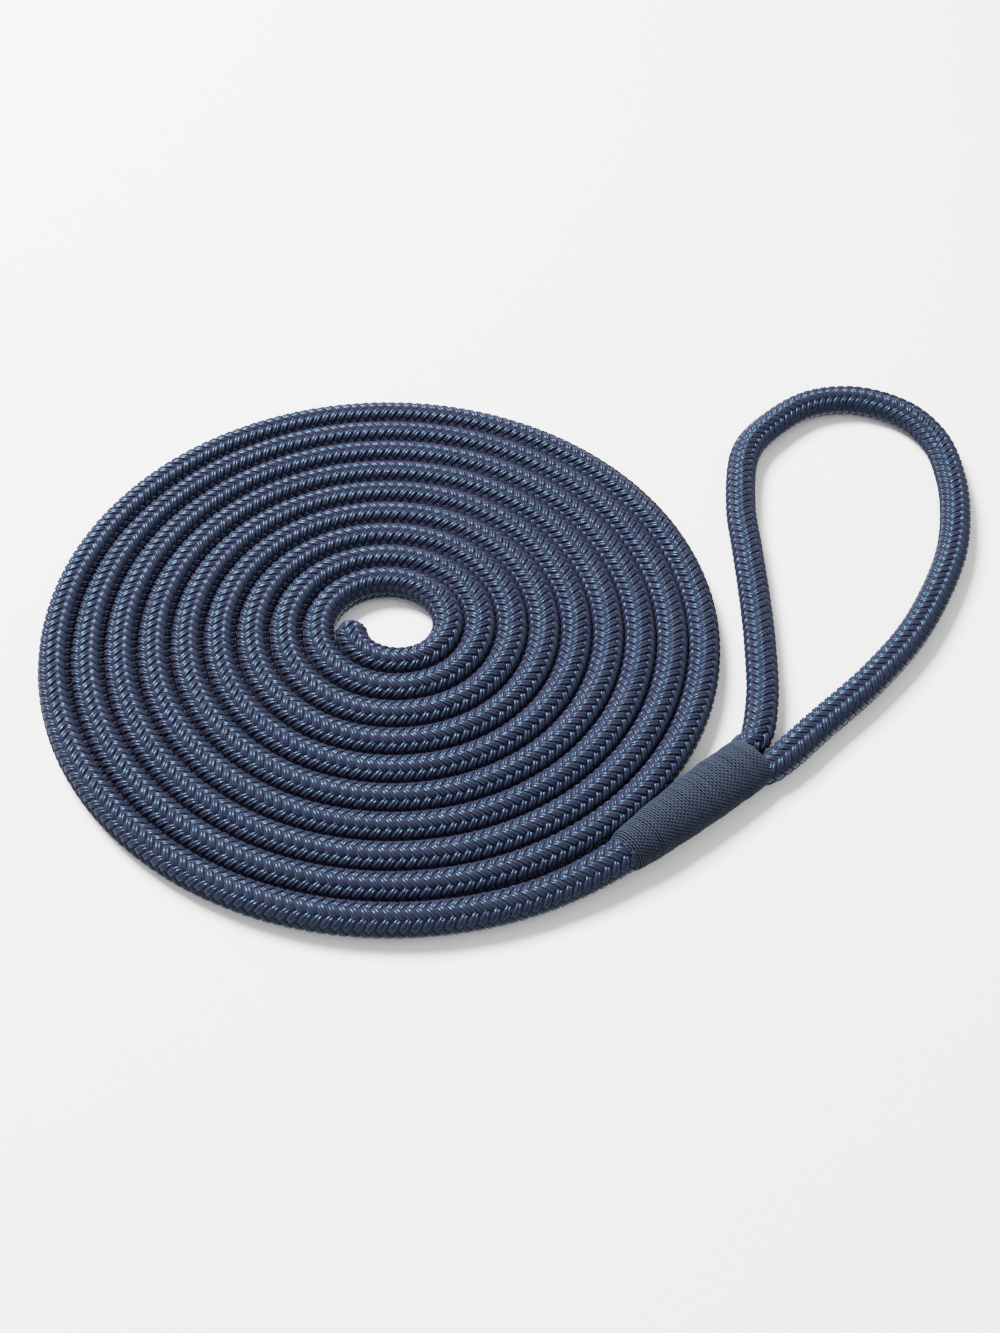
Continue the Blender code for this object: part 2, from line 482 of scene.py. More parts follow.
class EffectGroup:
    """A shader node group that gives a surface its colour, roughness and normal."""

    SHARED = {"Rough Low": Kind.NUMBER, "Rough High": Kind.NUMBER, "Relief": Kind.NUMBER}
    RESULTS = {"Color": Kind.COLOUR, "Roughness": Kind.NUMBER, "Normal": Kind.VECTOR}

    def __init__(self, name: str, inputs: dict[str, Kind]) -> None:
        """Make an empty group.

        Args:
            name: The group's name.
            inputs: Kind of each named input, besides the ones that all groups have.
        """
        self.group = bpy.data.node_groups.new(name, "ShaderNodeTree")
        for in_out, sockets in (("INPUT", inputs | self.SHARED), ("OUTPUT", self.RESULTS)):
            for socket, kind in sockets.items():
                self.group.interface.new_socket(name=socket, in_out=in_out, socket_type=kind.value)
        self.work = NodeWork(self.group)
        self.given = self.work.add("NodeGroupInput", {}).outputs

    def close(
        self,
        colour: Socket,
        height: Socket,
        strength: float,
        gloss: Socket,
    ) -> bpy.types.NodeTree:
        """Feed the group's results.

        Args:
            colour: The surface's colour.
            height: Its relief.
            strength: How strongly the relief shows.
            gloss: Where it lies between its two roughnesses.

        Returns:
            The finished group.
        """
        given, work = self.given, self.work
        span = {"Value": gloss, "To Min": given["Rough Low"], "To Max": given["Rough High"]}
        rough = work.add("ShaderNodeMapRange", span).outputs["Result"]
        relief = {"Strength": strength, "Distance": given["Relief"], "Height": height}
        normal = work.add("ShaderNodeBump", relief).outputs["Normal"]
        work.add("NodeGroupOutput", {"Color": colour, "Roughness": rough, "Normal": normal})
        return self.group


def make_mottle() -> bpy.types.NodeTree:
    """The uneven tone, gloss and fine unevenness of a plain surface.

    Returns:
        The node group.
    """
    inputs = {"Place": Kind.VECTOR, "Scale": Kind.NUMBER, "Dark": Kind.COLOUR, "Light": Kind.COLOUR}
    effect = EffectGroup("mottle", inputs)
    work, given = effect.work, effect.given
    noise = work.noise(given["Place"], given["Scale"], MOTTLE_DETAIL)
    cloud = work.math("MULTIPLY_ADD", noise, MOTTLE_CONTRAST, (1 - MOTTLE_CONTRAST) / 2, clamp=True)
    return effect.close(work.blend(cloud, given["Dark"], given["Light"]), noise, MOTTLE_BUMP, cloud)


def make_filaments() -> bpy.types.NodeTree:
    """Fine filaments that run along a yarn, in its own surface coordinates.

    Returns:
        The node group.
    """
    numbers = dict.fromkeys(("Tone", "Stretch", "Count", "Spread"), Kind.NUMBER)
    tones = dict.fromkeys(("Deep", "Middle", "Pale"), Kind.COLOUR)
    effect = EffectGroup("filaments", {"Along Across": Kind.VECTOR} | numbers | tones)
    work, given = effect.work, effect.given
    scale = work.add("ShaderNodeCombineXYZ", {"X": given["Stretch"], "Y": given["Count"], "Z": 1.0})
    factors = {0: given["Along Across"], 1: scale.outputs["Vector"]}
    drawn = work.add("ShaderNodeVectorMath", factors, operation="MULTIPLY")
    strand = work.noise(drawn.outputs["Vector"], FILAMENT_SCALE, FILAMENT_DETAIL)
    shade = work.math("MULTIPLY_ADD", strand, given["Spread"], given["Tone"], clamp=True)
    lower = work.math("MULTIPLY", shade, 2.0, clamp=True)
    upper = work.math("MULTIPLY_ADD", shade, 2.0, -1.0, clamp=True)
    colour = work.blend(upper, work.blend(lower, given["Deep"], given["Middle"]), given["Pale"])
    return effect.close(colour, strand, FILAMENT_BUMP, strand)


@dataclass(frozen=True)
class Effects:
    """The shared effects, each built once."""

    mottle: bpy.types.NodeTree = field(default_factory=make_mottle)
    filaments: bpy.types.NodeTree = field(default_factory=make_filaments)


class Finish:
    """One node material built on the Principled shader."""

    def __init__(self, name: str, **constants: object) -> None:
        """Start a material.

        Args:
            name: The material's name.
            **constants: Constants for the shader's own sockets, with underscores for spaces.
        """
        self.material = bpy.data.materials.new(name)
        self.material.use_nodes = True
        self.work = NodeWork(self.material.node_tree)
        self.shader = self.material.node_tree.nodes["Principled BSDF"]
        for socket, value in constants.items():
            self.work.feed(self.shader.inputs[socket.replace("_", " ")], value)

    def surface(self, effect: bpy.types.NodeTree, values: dict[str, object]) -> None:
        """Place an effect in the material and give the shader its colour, roughness and normal.

        Args:
            effect: The effect's node group.
            values: A value or a socket for each of its inputs.
        """
        placed = self.work.add("ShaderNodeGroup", values, node_tree=effect)
        for socket, result in (("Base Color", "Color"), ("Roughness", "Roughness"), ("Normal", "Normal")):
            self.work.feed(self.shader.inputs[socket], placed.outputs[result])


@dataclass(frozen=True)
class FibreFinish:
    """A yarn or a twine: filaments of three tones along it, under a tinted shine and a soft fuzz."""

    name: str
    deep: Triple
    middle: Triple
    pale: Triple
    tone_spread: float
    stretch: float
    count: float
    rough: tuple[float, float]
    relief: float
    shine: float
    shine_tint: Triple
    fuzz: float
    fuzz_rough: float
    fuzz_tint: Triple
    drawn_shine: float = 0.0

    def make(self, effects: Effects) -> Material:
        """Build the material.

        Args:
            effects: The shared effects.

        Returns:
            The material.
        """
        finish = Finish(
            self.name,
            Specular_IOR_Level=self.shine,
            Specular_Tint=self.shine_tint,
            Anisotropic=self.drawn_shine,
            Sheen_Weight=self.fuzz,
            Sheen_Roughness=self.fuzz_rough,
            Sheen_Tint=self.fuzz_tint,
        )
        finish.surface(
            effects.filaments,
            {
                "Along Across": finish.work.add("ShaderNodeUVMap", {}, uv_map="yarn").outputs["UV"],
                "Tone": finish.work.add("ShaderNodeAttribute", {}, attribute_name="tone").outputs["Fac"],
                "Stretch": self.stretch,
                "Count": self.count,
                "Spread": self.tone_spread,
                "Deep": self.deep,
                "Middle": self.middle,
                "Pale": self.pale,
                "Rough Low": self.rough[0],
                "Rough High": self.rough[1],
                "Relief": self.relief,
            },
        )
        if self.drawn_shine:
            tangent = finish.work.add("ShaderNodeTangent", {}, direction_type="UV_MAP", uv_map="yarn")
            finish.work.feed(finish.shader.inputs["Tangent"], tangent.outputs["Tangent"])
        return finish.material


@dataclass(frozen=True)
class PlainFinish:
    """A plain-coloured surface with mottled tone and gloss."""

    name: str
    dark: Triple
    light: Triple
    rough: tuple[float, float]
    scale: float
    relief: float
    shine: float = 0.30

    def make(self, effects: Effects) -> Material:
        """Build the material.

        Args:
            effects: The shared effects.

        Returns:
            The material.
        """
        finish = Finish(self.name, Specular_IOR_Level=self.shine)
        finish.surface(
            effects.mottle,
            {
                "Place": finish.work.add("ShaderNodeTexCoord", {}).outputs["Object"],
                "Scale": self.scale,
                "Dark": self.dark,
                "Light": self.light,
                "Rough Low": self.rough[0],
                "Rough High": self.rough[1],
                "Relief": self.relief,
            },
        )
        return finish.material


NYLON_YARN = FibreFinish(
    name="navy_nylon_yarn",
    deep=(0.0072, 0.0048, 0.0160),
    middle=(0.0108, 0.0090, 0.0178),
    pale=(0.0185, 0.0172, 0.0275),
    tone_spread=0.55,
    stretch=0.12,
    count=9.0,
    rough=(0.17, 0.29),
    relief=0.00013,
    shine=0.25,
    shine_tint=(0.09, 0.58, 1.0),
    fuzz=0.02,
    fuzz_rough=0.4,
    fuzz_tint=(0.50, 0.62, 1.0),
    drawn_shine=0.45,
)
SPUN_TWINE = FibreFinish(
    name="slate_blue_twine",
    deep=(0.0030, 0.0030, 0.0085),
    middle=(0.0100, 0.0120, 0.0230),
    pale=(0.0210, 0.0265, 0.0440),
    tone_spread=1.0,
    stretch=0.9,
    count=2.2,
    rough=(0.50, 0.75),
    relief=0.0003,
    shine=0.16,
    shine_tint=(0.7, 0.85, 1.0),
    fuzz=0.03,
    fuzz_rough=0.5,
    fuzz_tint=(0.6, 0.78, 1.0),
)
UNDER_YARNS = PlainFinish(
    "navy_under_yarns", (0.0095, 0.0090, 0.0230), (0.0150, 0.0145, 0.0330), (0.7, 0.9), 900.0, 0.0002, 0.03
)
BRAIDED_CORE = PlainFinish(
    "white_braided_core", (0.62, 0.62, 0.60), (0.80, 0.80, 0.78), (0.65, 0.8), 600.0, 0.0003
)
MELTED_END = PlainFinish(
    "melted_nylon", (0.004, 0.004, 0.010), (0.010, 0.010, 0.020), (0.60, 0.85), 420.0, 0.0004, 0.08
)
PALE_FLOOR = PlainFinish(
    "pale_floor", (0.87, 0.87, 0.875), (0.88, 0.88, 0.885), (0.85, 0.9), 3.0, 0.00001
)


@dataclass(frozen=True)
class Finishes:
    """Every finish, made once."""

    yarn: Material
    twine: Material
    bed: Material
    core: Material
    melted: Material
    floor: Material

    @classmethod
    def make(cls) -> Finishes:
        """Make every finish on the same shared effects.

        Returns:
            The finishes.
        """
        effects = Effects()
        return cls(
            yarn=NYLON_YARN.make(effects),
            twine=SPUN_TWINE.make(effects),
            bed=UNDER_YARNS.make(effects),
            core=BRAIDED_CORE.make(effects),
            melted=MELTED_END.make(effects),
            floor=PALE_FLOOR.make(effects),
        )


# ---- swept strands


class StrandMesh:
    """Collects closed swept strands of one kind and makes them one mesh."""

    def __init__(self, rings: int, sides: int) -> None:
        """Fix the strands' make-up.

        Args:
            rings: Rings along each strand.
            sides: Points round each ring.
        """
        self.rings = rings
        self.sides = sides

    def faces(self, count: int) -> Arrays:
        """Loops and face starts for a number of strands.

        Args:
            count: How many strands.

        Returns:
            Vertex index of every loop, and the first loop of every face.
        """
        ring, side = np.divmod(np.arange((self.rings - 1) * self.sides), self.sides)
        low, after = ring * self.sides, (side + 1) % self.sides
        high = low + self.sides
        quads = np.stack([low + side, low + after, high + after, high + side], axis=1).ravel()
        first_cap = np.arange(self.sides)[::-1]
        last_cap = (self.rings - 1) * self.sides + np.arange(self.sides)
        loops = np.concatenate([quads, first_cap, last_cap])
        starts = np.append(np.arange(0, len(quads), 4), [len(quads), len(quads) + self.sides])
        block = self.rings * self.sides
        all_loops = (loops[None, :] + (np.arange(count) * block)[:, None]).ravel()
        all_starts = (starts[None, :] + (np.arange(count) * len(loops))[:, None]).ravel()
        return all_loops, all_starts

    def build(
        self,
        name: str,
        points: np.ndarray,
        material: Material,
        uv: np.ndarray | None = None,
        tone: np.ndarray | float = 0.0,
    ) -> Piece:
        """Make one mesh object.

        Args:
            name: The piece's name.
            points: Strand points, shaped strands, rings, sides, 3.
            material: Its finish.
            uv: Matching surface coordinates, shaped strands, rings, sides, 2.
            tone: One tone for each strand, or one for all.

        Returns:
            The object.
        """
        count = len(points)
        loops, starts = self.faces(count)
        mesh = bpy.data.meshes.new(name)
        mesh.vertices.add(points.size // 3)
        mesh.vertices.foreach_set("co", points.astype(np.float32).ravel())
        mesh.loops.add(len(loops))
        mesh.loops.foreach_set("vertex_index", loops.astype(np.int32))
        mesh.polygons.add(len(starts))
        mesh.polygons.foreach_set("loop_start", starts.astype(np.int32))
        mesh.update(calc_edges=True)
        uv = np.zeros((*points.shape[:-1], 2)) if uv is None else uv
        layer = mesh.uv_layers.new(name="yarn")
        layer.data.foreach_set("uv", uv.reshape(-1, 2)[loops].astype(np.float32).ravel())
        tones = mesh.attributes.new("tone", "FLOAT", "POINT")
        each = np.repeat(np.broadcast_to(tone, count), self.rings * self.sides)
        tones.data.foreach_set("value", each.astype(np.float32))
        mesh.polygons.foreach_set("use_smooth", np.ones(len(starts), bool))
        mesh.materials.append(material)
        mesh.update()
        piece = bpy.data.objects.new(name, mesh)
        bpy.context.scene.collection.objects.link(piece)
        return piece


def signed_volume(points: np.ndarray) -> float:
    """Signed volume inside a strand's side faces, which tells which way they face.

    Args:
        points: The strand's points, shaped rings, sides, 3.

    Returns:
        Six times the volume, below zero where the faces would face inwards.
    """
    near = points - points.mean(axis=(0, 1))
    beside = np.roll(near, -1, axis=1)
    first, second, third, fourth = near[:-1], beside[:-1], beside[1:], near[1:]
    return float(np.sum(first * (np.cross(second, third) + np.cross(third, fourth))))


def sweep(
    centres: np.ndarray,
    axes: Arrays,
    halves: Arrays,
    sides: int,
    turned: float = 0.0,
) -> np.ndarray:
    """Lay an oval ring of points round every centre.

    Args:
        centres: Ring middles, with a last axis of three.
        axes: Directions of the oval's two half axes.
        halves: Lengths of the two half axes.
        sides: Points in a ring.
        turned: How far the first point is turned, as a share of a side.

    Returns:
        The points, with the sides as the last axis but one.
    """
    turn = 2 * math.pi * (np.arange(sides) + turned) / sides
    points = centres[..., None, :]
    for wave, axis, half in zip((np.cos(turn), np.sin(turn)), axes, halves):
        points = points + (wave * half[..., None])[..., None] * axis[..., None, :]
    return points


@dataclass(frozen=True)
class Yarn:
    """One yarn's float: its size, its path over two strands, and how much floats differ."""

    width: float = 0.00188
    height: float = 0.00176
    sides: int = 6
    swell: float = 1.1
    steps: tuple[float, ...] = (-1.0, -0.72, -0.38, 0.0, 0.38, 0.72, 1.0)
    reach: float = 1.36
    shift: float = 0.00068
    closing: float = 0.10
    dive: float = 1.55
    dive_power: int = 3
    taper: float = 0.55
    taper_power: float = 2.6
    end_margin: float = 0.0004
    reach_spread: float = 0.02
    lift_spread: float = 0.00003
    width_spread: float = 0.03
    uv_length: float = 2.0
    uv_spread: float = 50.0
    tone: float = 0.22
    tone_spread: float = 0.05
    tone_run: float = 0.030


@dataclass(frozen=True)
class EndSize:
    """How thick the line gets towards one end, and over what length."""

    scale: float = 1.0
    run: float = 0.030

    def extra(self, distance: np.ndarray) -> np.ndarray:
        """Share of thickness gained at distances from the end."""
        return (self.scale - 1) * eased(np.clip(1 - distance / self.run, 0, 1))


@dataclass
class BraidedCover:
    """The cover: sixteen strands of paired yarns, each passing over two and under two."""

    name: str
    route: Route
    finishes: Finishes
    seed: int
    start: EndSize
    end: EndSize
    pieces: int = 1
    line: Line = field(default_factory=Line)
    yarn: Yarn = field(default_factory=Yarn)
    carriers: int = 16
    pick: float = 0.00487
    middle: float = 0.00655
    wave: float = 0.00100
    tube_step: float = 0.005
    tube_roundness: int = 3

    @property
    def lay(self) -> float:
        """Length along the line in which a strand winds round it once."""
        return self.carriers / 2 * self.pick

    def thickness(self, along: np.ndarray) -> np.ndarray:
        """How much thicker or thinner than its nominal size the line is."""
        return 1 + self.start.extra(along) + self.end.extra(self.route.length - along)

    def strand_centres(self, hand: Hand) -> Arrays:
        """Centres of all floats of one hand.

        Args:
            hand: Which way the strands wind.

        Returns:
            Crossing-grid positions round the line and along it.
        """
        across, along = FIRST_FLOAT[hand]
        count = int(self.route.length * self.carriers / self.lay / 2)
        columns, rows = np.meshgrid(np.arange(self.carriers // 4) * 4 + across, np.arange(count) * 2 + along)
        return columns.ravel(), rows.ravel()

    def floats(self, hand: Hand) -> Arrays:
        """Every yarn float of one hand as swept points.

        Args:
            hand: Which way the strands wind.

        Returns:
            Points, surface coordinates, tones, and each float's distance along the line.
        """
        yarn = self.yarn
        rng = np.random.default_rng(self.seed + hand.value)
        columns, rows = (np.repeat(grid, 2)[:, None] for grid in self.strand_centres(hand))
        count = len(columns)
        steps = np.array(yarn.steps) * yarn.reach
        ahead = steps[None, :] + rng.normal(0, yarn.reach_spread, count)[:, None]
        bend = np.abs(ahead) / yarn.reach
        surface = self.middle + self.wave
        arc_step = surface * 2 * math.pi / self.carriers
        run_step = self.lay / self.carriers * hand.value
        size = math.hypot(arc_step, run_step)
        across_arc, across_run = -run_step / size, arc_step / size
        shift = np.tile([-1.0, 1.0], count // 2)[:, None] * yarn.shift * (1 - yarn.closing * bend**2)
        angle = 2 * math.pi * (columns + ahead) / self.carriers + shift * across_arc / surface
        along = self.lay * (rows + hand.value * ahead) / self.carriers + shift * across_run
        along = np.clip(along, yarn.end_margin, self.route.length - yarn.end_margin)
        place, tangent, side, up = self.route.frames(along)
        scale = self.thickness(along)
        lift = rng.normal(0, yarn.lift_spread, count)[:, None]
        radius = (self.middle + self.wave * (1 - yarn.dive * bend**yarn.dive_power) + lift) * scale
        out = np.cos(angle)[..., None] * side + np.sin(angle)[..., None] * up
        around = -np.sin(angle)[..., None] * side + np.cos(angle)[..., None] * up
        across = across_arc * around + across_run * tangent
        half = yarn.swell / 2 * (1 - yarn.taper * bend**yarn.taper_power) * scale
        wide = half * yarn.width * (1 + rng.normal(0, yarn.width_spread, count)[:, None])
        centre = place + radius[..., None] * out
        points = sweep(centre, (across, out), (wide, half * yarn.height), yarn.sides, 0.5)
        if signed_volume(points[count // 2]) < 0:
            points = points[:, ::-1]
        points[..., 2] = np.maximum(points[..., 2], FLOOR_GAP)
        uv = np.empty((*points.shape[:-1], 2))
        start = rng.uniform(0, yarn.uv_spread, count)[:, None, None]
        uv[..., 0] = np.array(yarn.steps)[None, :, None] * yarn.uv_length + start
        uv[..., 1] = (np.arange(yarn.sides) / yarn.sides)[None, None, :] + start
        knots = np.arange(0.0, self.route.length + yarn.tone_run, yarn.tone_run)
        slow = np.interp(along[:, 3], knots, rng.normal(0, yarn.tone_spread, len(knots)))
        tone = np.clip(yarn.tone + slow + rng.normal(0, yarn.tone_spread, count), 0, 1)
        return points, uv, tone, along[:, 2]

    def add_yarns(self) -> list[Piece]:
        """Lay the yarn floats, cut into pieces by distance along the line.

        Returns:
            The pieces.
        """
        parts = [self.floats(hand) for hand in Hand]
        points, uv, tone, along = (np.concatenate([part[i] for part in parts]) for i in range(4))
        order = np.argsort(along, kind="stable")
        made = []
        builder = StrandMesh(points.shape[1], points.shape[2])
        for number, chosen in enumerate(np.array_split(order, self.pieces), 1):
            name = f"{self.name}_yarns_{number}" if self.pieces > 1 else f"{self.name}_yarns"
            piece = builder.build(name, points[chosen], self.finishes.yarn, uv[chosen], tone[chosen])
            keep_piece(piece, Slot.COVER)
            made.append(piece)
        return made

    def add_tube(
        self, suffix: str, diameter: float, material: Material, slot: Slot, replaced: str
    ) -> Piece:
        """Add a plain round tube along the route, as one open curve.

        Args:
            suffix: What the tube is.
            diameter: Its diameter.
            material: Its finish.
            slot: Its material slot.
            replaced: The CAD node it stands for.

        Returns:
            The curve object.
        """
        name = f"{self.name}_line_{suffix}"
        curve = bpy.data.curves.new(name, "CURVE")
        curve.dimensions = "3D"
        curve.twist_mode = "Z_UP"
        curve.bevel_depth = diameter / 2
        curve.bevel_resolution = self.tube_roundness
        curve.use_fill_caps = True
        count = max(2, round(self.route.length / self.tube_step))
        along = np.linspace(0, self.route.length, count)
        place = self.route.frames(along)[0]
        spline = curve.splines.new("POLY")
        spline.points.add(count - 1)
        spline.points.foreach_set("co", np.concatenate([place, np.ones((count, 1))], axis=1).ravel())
        spline.points.foreach_set("radius", self.thickness(along))
        spline.use_smooth = True
        curve.materials.append(material)
        piece = bpy.data.objects.new(name, curve)
        bpy.context.scene.collection.objects.link(piece)
        keep_piece(piece, slot, (replaced,))
        return piece


# ---- whipping


@dataclass
class Whipping:
    """The seizing: twine wound tight round the throat, turn beside turn."""

    plan: ThroatPlan
    place: Matrix
    finishes: Finishes
    spacing: float = 0.00128
    twine_radius: float = 0.00060
    sink: float = 0.85
    start: float = -0.0022
    end_step: float = 0.0009
    end_run: float = 0.0011
    bulge: float = 0.0042
    bulge_height: float = 0.4
    lump: float = 0.00013
    long_lumps: float = 9.0
    short_lumps: float = 21.0
    short_share: float = 0.6
    wander_spread: float = 0.00010
    lift_spread: float = 0.00006
    stitches: float = 34.5
    stitch_swing: float = 0.00012
    stitch_waist: float = 0.42
    points_in_turn: int = 176
    sides: int = 6
    uv_turn: float = 40.0
    uv_round: float = 3.0
    tone: float = 0.02
    rings_tested: int = 40
    bar_rings: int = 24
    bar_sides: int = 32
    bar_ends: tuple[float, float] = (0.03, 0.97)
    seed: int = 5

    def oval(self, share: np.ndarray, angle: np.ndarray, outset: float) -> Arrays:
        """Points and outward directions on the throat's oval, in the throat's frame.

        Args:
            share: Share of the throat's length.
            angle: Angle round it.
            outset: Distance outside the splice's surface.

        Returns:
            Points and outward directions.
        """
        width, height = self.plan.oval(share)
        fullness = np.sqrt(np.sin(math.pi * np.clip(share, 0, 1)))
        width = width + self.bulge * fullness + 2 * outset
        height = height + self.bulge_height * self.bulge * fullness + 2 * outset
        middle = height / 2 - outset + self.plan.twine_wall + self.plan.gap
        places = (width / 2 * np.cos(angle), middle + height / 2 * np.sin(angle), share * self.plan.length)
        out = np.stack([height * np.cos(angle), width * np.sin(angle), np.zeros_like(angle)], axis=-1)
        return np.stack(places, axis=-1), out / np.linalg.norm(out, axis=-1, keepdims=True)

    def placed(self, points: np.ndarray) -> np.ndarray:
        """Points of the throat's frame, moved to the shared frame."""
        matrix = np.array(self.place)
        return points @ matrix[:3, :3].T + matrix[:3, 3]

    def add_twine(self) -> Piece:
        """Wind the twine from the foot to the head.

        Returns:
            The wound twine.
        """
        rng = np.random.default_rng(self.seed)
        covered = self.plan.length - self.plan.setback / 2 - self.start
        turns = covered / self.spacing
        count = round(turns * self.points_in_turn)
        wound = np.linspace(0, turns, count)
        run = covered * wound / turns + self.start
        share = run / self.plan.length
        angle = 2 * math.pi * wound
        knots = np.arange(int(turns) + 2)
        wander = np.interp(wound, knots, rng.normal(0, self.wander_spread, len(knots)))
        lift = np.interp(wound, knots, rng.normal(0, self.lift_spread, len(knots)))
        long_lumps = np.sin(self.long_lumps * math.pi * share + angle)
        short_lumps = np.sin(self.short_lumps * math.pi * share - 2 * angle)
        lift += self.lump * (long_lumps + self.short_share * short_lumps)
        nearest = np.minimum(run - run[0], run[-1] - run)
        lift -= self.end_step * np.exp(-nearest / self.end_run)
        outset = self.plan.gap + self.plan.twine_wall - self.twine_radius * self.sink
        centre, out = self.oval(share, angle, outset)
        stitch = angle * self.stitches
        centre[:, 2] += wander + self.stitch_swing * np.sin(stitch)
        centre += out * lift[:, None]
        radius = self.twine_radius * (1 - self.stitch_waist * (0.5 - 0.5 * np.cos(stitch)))
        points = self.placed(sweep(centre, (UP, out), (radius, radius), self.sides))
        points[..., 2] = np.maximum(points[..., 2], FLOOR_GAP)
        if signed_volume(points[: self.rings_tested]) < 0:
            points = points[:, ::-1]
        uv = np.empty((1, count, self.sides, 2))
        uv[0, ..., 0] = (wound * self.uv_turn)[:, None]
        uv[0, ..., 1] = np.arange(self.sides)[None, :] / self.sides * self.uv_round
        builder = StrandMesh(count, self.sides)
        piece = builder.build("whipping_turns", points[None], self.finishes.twine, uv, self.tone)
        keep_piece(piece, Slot.TWINE, ("whipping",))
        return piece

    def add_splice(self) -> Piece:
        """The splice's own body under the twine, a closed oval bar.

        Returns:
            The bar.
        """
        share = np.linspace(*self.bar_ends, self.bar_rings)[:, None]
        angle = (2 * math.pi * np.arange(self.bar_sides) / self.bar_sides)[None, :]
        points = self.placed(self.oval(*np.broadcast_arrays(share, angle), 0.0)[0])
        if signed_volume(points) < 0:
            points = points[:, ::-1]
        builder = StrandMesh(self.bar_rings, self.bar_sides)
        piece = builder.build("splice_throat", points[None], self.finishes.bed)
        keep_piece(piece, Slot.COVER, ("throat_cover",))
        return piece


@dataclass
class BitterEnd:
    """The heat-sealed end: a hard melted cap that grips the yarns."""

    route: Route
    finishes: Finishes
    radius: float = 0.0066
    depth: float = 0.0030
    overlap: float = 0.0010
    sides: int = 28
    edge: float = 0.0017
    edge_steps: int = 4
    edge_fullness: float = 0.6
    facing_limit: float = 0.9

    def add_cap(self) -> Piece:
        """Model the cap from a short cylinder with a rounded outer edge.

        Returns:
            The cap.
        """
        place, tangent, _, _ = (vector[0] for vector in self.route.frames(np.array([0.0])))
        away = -Vector(tangent)
        turn = away.to_track_quat("Z", "Y").to_euler()
        deselect_all()
        middle = Vector(place) + away * (self.depth / 2 - self.overlap)
        bpy.ops.mesh.primitive_cylinder_add(
            vertices=self.sides, radius=self.radius, depth=self.depth, location=middle, rotation=turn
        )
        cap = bpy.context.object
        cap.name = cap.data.name = "melted_end_cap"
        bpy.ops.object.transform_apply(location=True, rotation=True, scale=True)
        bpy.ops.object.mode_set(mode="EDIT")
        bpy.ops.mesh.select_all(action="DESELECT")
        bpy.ops.object.mode_set(mode="OBJECT")
        for polygon in cap.data.polygons:
            polygon.select = polygon.normal.dot(away) > self.facing_limit
        bpy.ops.object.mode_set(mode="EDIT")
        bpy.ops.mesh.select_mode(type="FACE")
        bpy.ops.mesh.bevel(offset=self.edge, segments=self.edge_steps, profile=self.edge_fullness)
        bpy.ops.mesh.select_all(action="SELECT")
        bpy.ops.mesh.faces_shade_smooth()
        bpy.ops.object.mode_set(mode="OBJECT")
        cap.data.materials.append(self.finishes.melted)
        keep_piece(cap, Slot.SEAL, ("bitter_end_seal",))
        return cap


# ---- studio


@dataclass(frozen=True)
class Lamp:
    """One soft square light that faces the object: its place, side, watts and colour."""

    name: str
    place: Triple
    size: float
    power: float
    colour: Triple

    def add(self) -> None:
        """Hang the light."""
        data = bpy.data.lights.new(self.name, "AREA")
        data.shape = "SQUARE"
        data.size = self.size
        data.energy = self.power
        data.color = self.colour
        light = bpy.data.objects.new(self.name, data)
        bpy.context.scene.collection.objects.link(light)
        light.location = self.place
        light.rotation_euler = Vector(self.place).to_track_quat("Z", "Y").to_euler()


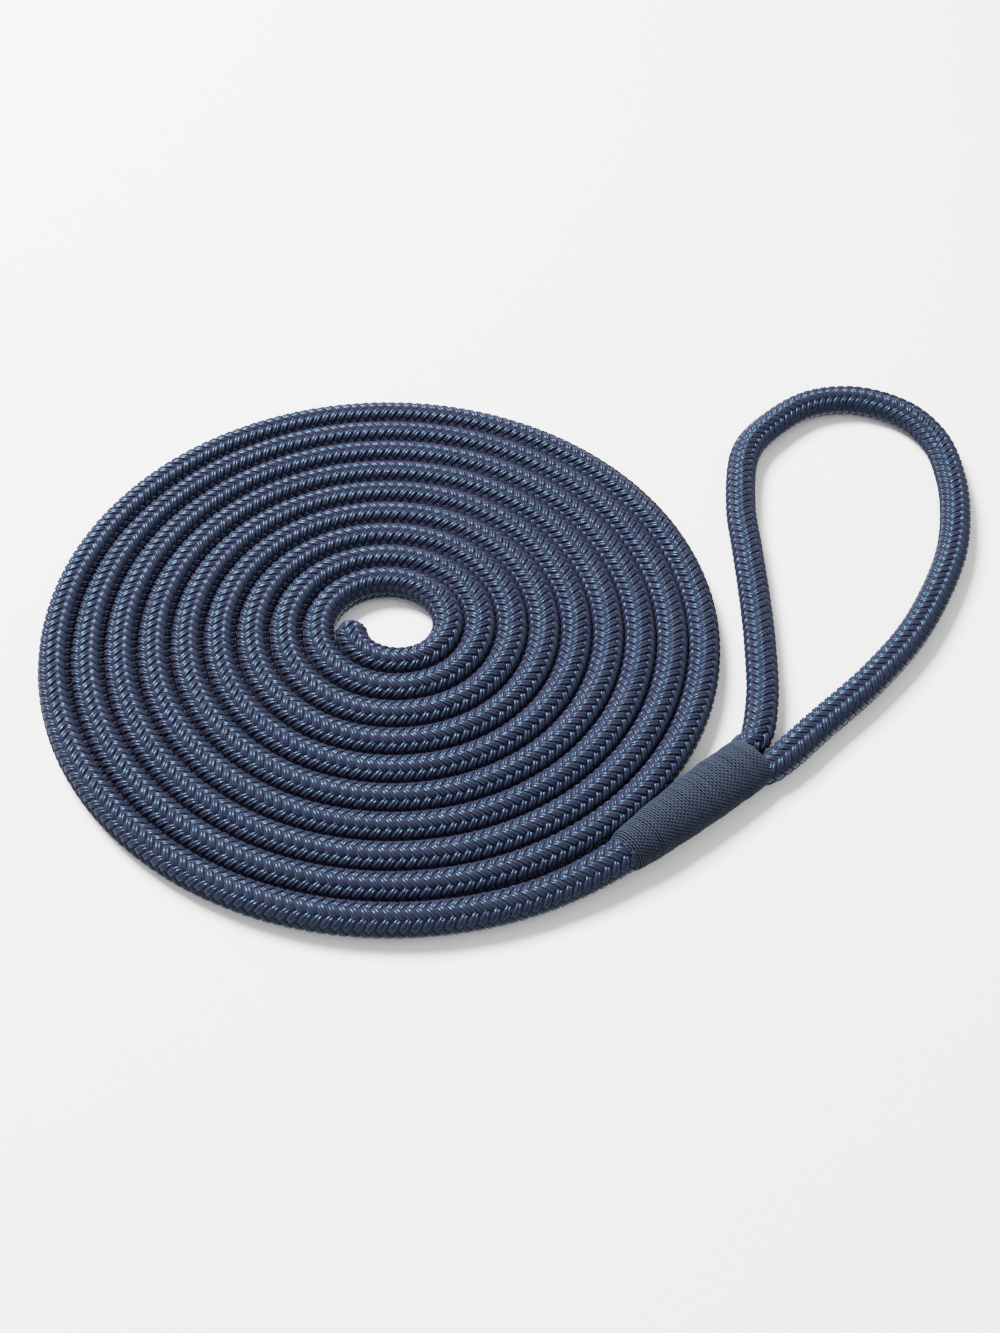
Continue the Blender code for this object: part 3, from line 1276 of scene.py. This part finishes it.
@dataclass(frozen=True)
class Studio:
    """The camera, a plain pale floor and soft light."""

    target: Vector = field(default_factory=lambda: Vector((-0.01149, -0.02507, 0.0)))
    elevation: float = math.radians(49.485)
    distance: float = 0.8945
    roll: float = 0.0453157
    lens: float = 47.50
    sensor: float = 36.0
    nearest: float = 0.05
    floor_size: float = 12.0
    surround: float = 1.20
    key: Lamp = Lamp("key", (-1.07, 0.885, 1.83), 0.9, 412.0, (1.0, 0.99, 0.97))
    fill: Lamp = Lamp("fill", (1.2, -1.2, 1.6), 1.6, 8.0, (0.97, 0.98, 1.0))

    def add_camera(self) -> None:
        """Place the camera and make it the scene's."""
        back = Vector((0.0, -math.cos(self.elevation), math.sin(self.elevation)))
        right = Vector((1.0, 0.0, 0.0))
        up = back.cross(right)
        x_axis = right * math.cos(self.roll) + up * math.sin(self.roll)
        y_axis = -right * math.sin(self.roll) + up * math.cos(self.roll)
        data = bpy.data.cameras.new("camera")
        data.lens = self.lens
        data.sensor_width = self.sensor
        data.clip_start = self.nearest
        camera = bpy.data.objects.new("camera", data)
        bpy.context.scene.collection.objects.link(camera)
        turn = Matrix((x_axis, y_axis, back)).transposed().to_4x4()
        camera.matrix_world = Matrix.Translation(self.target + back * self.distance) @ turn
        bpy.context.scene.camera = camera

    def add_floor(self, material: Material) -> None:
        """Lay a plain floor.

        Args:
            material: Its finish.
        """
        deselect_all()
        bpy.ops.mesh.primitive_plane_add(size=self.floor_size, location=(0, 0, 0))
        floor = bpy.context.object
        floor.name = "floor"
        floor.data.materials.append(material)
        floor.visible_glossy = False

    def light(self) -> None:
        """Set the soft studio light."""
        world = bpy.data.worlds.new("studio")
        world.use_nodes = True
        background = world.node_tree.nodes["Background"]
        background.inputs["Color"].default_value = (1.0, 1.0, 1.0, 1.0)
        background.inputs["Strength"].default_value = self.surround
        bpy.context.scene.world = world
        self.key.add()
        self.fill.add()


# ---- the object


@dataclass
class DockLine:
    """The whole line: coil, eye, whipping and bitter end."""

    layout: Layout
    finishes: Finishes

    def add_lengthwise(self, cover: BraidedCover) -> tuple[Piece, list[Piece]]:
        """Lay all that runs along one stretch of the line.

        Args:
            cover: The stretch's cover.

        Returns:
            The bed, and the core with the yarns.
        """
        line, made = cover.line, self.finishes
        bed = cover.add_tube("bed", line.bed_diameter, made.bed, Slot.COVER, f"{cover.name}_cover")
        core = cover.add_tube("core", line.core_diameter, made.core, Slot.CORE, f"{cover.name}_core")
        log.info("%s length %.3f m", cover.name, cover.route.length)
        return bed, [core, *cover.add_yarns()]

    def add_coil(self) -> None:
        """Lay the coiled line with its core, bed and yarns."""
        cover = BraidedCover(
            "coil",
            self.layout.coil_route(),
            self.finishes,
            seed=11,
            start=EndSize(0.97, 0.005),
            end=EndSize(1.09, 0.050),
            pieces=8,
        )
        bed, inner = self.add_lengthwise(cover)
        BitterEnd(cover.route, self.finishes).add_cap()

    def add_eye(self) -> None:
        """Lay the eye with its core, bed and yarns."""
        leg = EndSize(0.84)
        cover = BraidedCover("eye", self.layout.eye_route(), self.finishes, seed=29, start=leg, end=leg)
        bed, inner = self.add_lengthwise(cover)

    def add_throat(self) -> None:
        """Build the splice's body and wind its whipping."""
        whipping = Whipping(self.layout.throat, self.layout.throat_frame(), self.finishes)
        whipping.add_splice()
        whipping.add_twine()
        for name in ("throat_core", "buried_tail"):
            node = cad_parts[name]
            for slot in node.material_slots:
                slot.material = self.finishes.core


def main() -> None:
    """Build everything in order."""
    logging.basicConfig(level=logging.INFO, format="%(message)s")
    deselect_all()
    studio = Studio()
    studio.add_camera()
    finishes = Finishes.make()
    line = DockLine(Layout(), finishes)
    line.add_coil()
    line.add_eye()
    line.add_throat()
    studio.add_floor(finishes.floor)
    studio.light()


if __name__ == "__main__":
    main()
